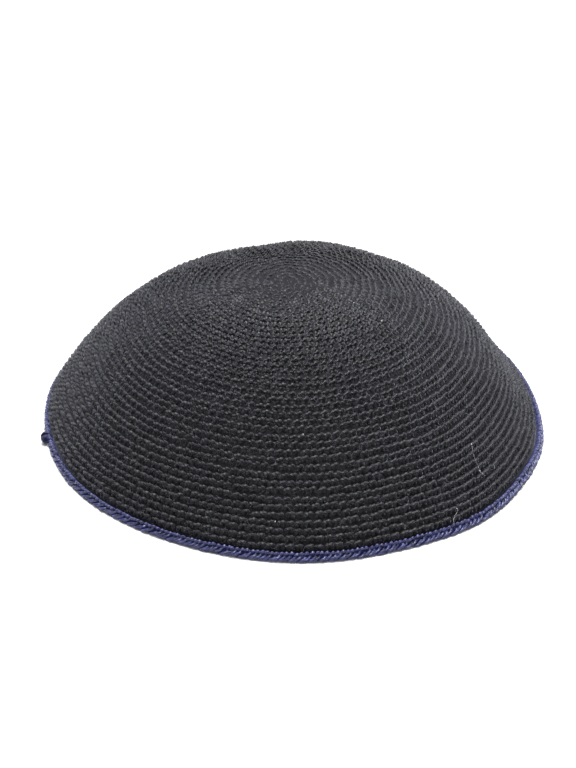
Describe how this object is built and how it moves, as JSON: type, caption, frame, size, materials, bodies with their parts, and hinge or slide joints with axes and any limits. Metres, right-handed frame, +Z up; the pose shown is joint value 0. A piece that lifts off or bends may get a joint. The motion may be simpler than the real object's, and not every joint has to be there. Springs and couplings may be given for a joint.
{
  "type": "crocheted kippah skullcap",
  "caption": "Shallow round skullcap crocheted in close rounds, an open black dome with a navy edging round its rim.",
  "frame": {"origin": "under the middle of the cap, on the plane that its rim rests on", "axes": "+Z up through the top of the dome, -Y towards the front that the picture shows, +X to its right"},
  "size_m": [0.1696, 0.1694, 0.0498],
  "materials": {
    "black_cotton": "matte crochet cotton",
    "navy_cotton": "matte crochet cotton"
  },
  "bodies": {
    "root": {"crown": "black_cotton", "edging": "navy_cotton", "finishing_knot": "navy_cotton"}
  },
  "joints": []
}
